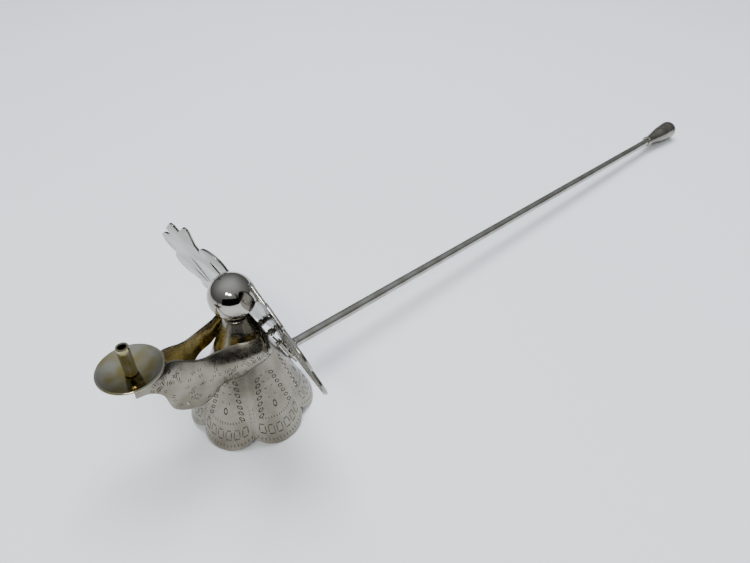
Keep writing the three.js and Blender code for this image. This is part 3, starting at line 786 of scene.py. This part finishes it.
def handle_finial():
    centre = HANDLE_LENGTH - FINIAL_RADIUS
    flank = round_profile([
        (FINIAL_NECK, FINIAL_START), (FINIAL_NECK * 1.28, FINIAL_START + FINIAL_LENGTH * 0.2),
        (FINIAL_RADIUS * 0.86, centre - FINIAL_RADIUS * 1.9), (FINIAL_RADIUS, centre),
    ], steps=10)
    rings = [(SPIGOT_RADIUS + GAP, FINIAL_START + 6.3), (SPIGOT_RADIUS + GAP, FINIAL_START)]
    rings += [(FINIAL_NECK - 0.2, FINIAL_START)] + flank
    for k in range(1, 17):
        angle = math.pi / 2 * k / 16
        rings.append((max(FINIAL_RADIUS * math.cos(angle), 0.0001), centre + FINIAL_RADIUS * math.sin(angle)))
    obj = turned("finial_fine", rings, segments=96)
    settle(obj, HANDLE_PLACE)
    return finish(obj, "handle", satin_silver, ["finial"], angle=50)


handle_rod()
handle_collar()
handle_finial()

# ---- small fittings ------------------------------------------------------------------------------------

SMALL_FITTINGS = {
    "hinge_bracket": ("figure", "silver_plate", satin_silver, 0.2),
    "bracket_rivet_upper": ("figure", "silver_plate", satin_silver, 0.08),
    "bracket_rivet_lower": ("figure", "silver_plate", satin_silver, 0.08),
    "wing_rivet_left": ("figure", "silver_plate", wing_silver, 0.06),
    "wing_rivet_right": ("figure", "silver_plate", wing_silver, 0.06),
    "hinge_pin": ("figure", "steel", plain_steel, 0.08),
    "neck_washer": ("figure", "steel", plain_steel, 0.08),
    "neck_screw": ("figure", "steel", plain_steel, 0.06),
    "dish_stem": ("figure", "polished_silver", mirror_silver, 0.08),
    "hinge_knuckle": ("handle", "polished_silver", drawn_silver, 0.04),
}
for fitting, (body, slot, material, width) in SMALL_FITTINGS.items():
    finish(refined(fitting, width), body, material, [fitting])

for template in (stroke, ring):
    bpy.data.objects.remove(template)

# ---- table, light and camera ---------------------------------------------------------------------------


def table():
    deselect()
    bpy.ops.mesh.primitive_plane_add(size=6, location=(0, 0, -0.0002))
    top = bpy.context.object
    top.name = "table_top"
    paper = bpy.data.materials.new("pale_matt_board")
    paper.use_nodes = True
    shader = paper.node_tree.nodes["Principled BSDF"]
    shader.inputs["Roughness"].default_value = 0.55
    place = node(paper, "ShaderNodeTexCoord").outputs["Object"]
    cloud = node(paper, "ShaderNodeTexNoise", {"Scale": 3.0, "Detail": 2.0}, {"Vector": place}).outputs["Fac"]
    tone = node(paper, "ShaderNodeValToRGB", links={"Fac": cloud})
    tone.color_ramp.elements[0].color = linear("#D6DAE0")
    tone.color_ramp.elements[1].color = linear("#DEE2E5")
    paper.node_tree.links.new(tone.outputs["Color"], shader.inputs["Base Color"])
    top.data.materials.append(paper)


LAMP_AIM = (0, -0.05, 0.02)


def soft_light(name, place, size, power, colour, shows=True):
    light = bpy.data.lights.new(name, "AREA")
    light.shape = "RECTANGLE"
    light.size, light.size_y = size
    light.energy = power
    light.color = linear(colour)[:3]
    lamp = bpy.data.objects.new(name, light)
    bpy.context.scene.collection.objects.link(lamp)
    lamp.location = place
    lamp.visible_glossy = shows
    lamp.rotation_euler = (Vector(LAMP_AIM) - Vector(place)).to_track_quat("-Z", "Y").to_euler()
    return lamp


def room():
    """A bright ceiling over a mid-grey room, which the polished pieces reflect."""
    world = bpy.data.worlds.new("room")
    world.use_nodes = True
    bpy.context.scene.world = world
    tree = world.node_tree
    background = tree.nodes["Background"]
    place = tree.nodes.new("ShaderNodeTexCoord")
    split = tree.nodes.new("ShaderNodeSeparateXYZ")
    ramp = tree.nodes.new("ShaderNodeValToRGB")
    tree.links.new(place.outputs["Generated"], split.inputs["Vector"])
    tree.links.new(split.outputs["Z"], ramp.inputs["Fac"])
    tree.links.new(ramp.outputs["Color"], background.inputs["Color"])
    steps = [(0.0, "#707274"), (0.3, "#85878A"), (0.62, "#A9ADB2"), (1.0, "#E2E8F0")]
    elements = ramp.color_ramp.elements
    elements[0].position, elements[0].color = steps[0][0], linear(steps[0][1])
    elements[1].position, elements[1].color = steps[-1][0], linear(steps[-1][1])
    for position, colour in steps[1:-1]:
        elements.new(position).color = linear(colour)
    background.inputs["Strength"].default_value = 1.0


def dark_card():
    """A dark card behind the camera, which only shows as the black reflections in the polished pieces."""
    deselect()
    bpy.ops.mesh.primitive_plane_add(size=1, location=(0.24, -0.3, 0.1))
    card = bpy.context.object
    card.name = "dark_card"
    card.scale = (0.46, 0.19, 1)
    card.rotation_euler = (math.radians(90), 0, math.radians(52))
    cloth = bpy.data.materials.new("black_cloth")
    cloth.use_nodes = True
    cloth.node_tree.nodes["Principled BSDF"].inputs["Base Color"].default_value = linear("#0B0B0C")
    cloth.node_tree.nodes["Principled BSDF"].inputs["Specular IOR Level"].default_value = 0.0
    card.data.materials.append(cloth)
    card.visible_camera = card.visible_shadow = card.visible_diffuse = False


def camera():
    seen = bpy.data.cameras.new("camera")
    seen.lens = 28.93
    seen.sensor_width = 36
    eye = bpy.data.objects.new("camera", seen)
    bpy.context.scene.collection.objects.link(eye)
    eye.location = (0.11404, -0.16895, 0.14805)
    eye.rotation_euler = (math.radians(50.3), 0, math.radians(47.2))
    bpy.context.scene.camera = eye


table()
room()
dark_card()
soft_light("ceiling_panel", (-0.22, 0.16, 1.0), (0.8, 0.6), 19, "#F6FAFF", shows=False)
soft_light("lamp_behind_camera", (0.42, -0.44, 0.6), (0.14, 0.06), 2.2, "#FFFAF2")
soft_light("lamp_beside_camera", (0.25, -0.52, 0.6), (0.09, 0.09), 1.4, "#FFFAF2")
camera()
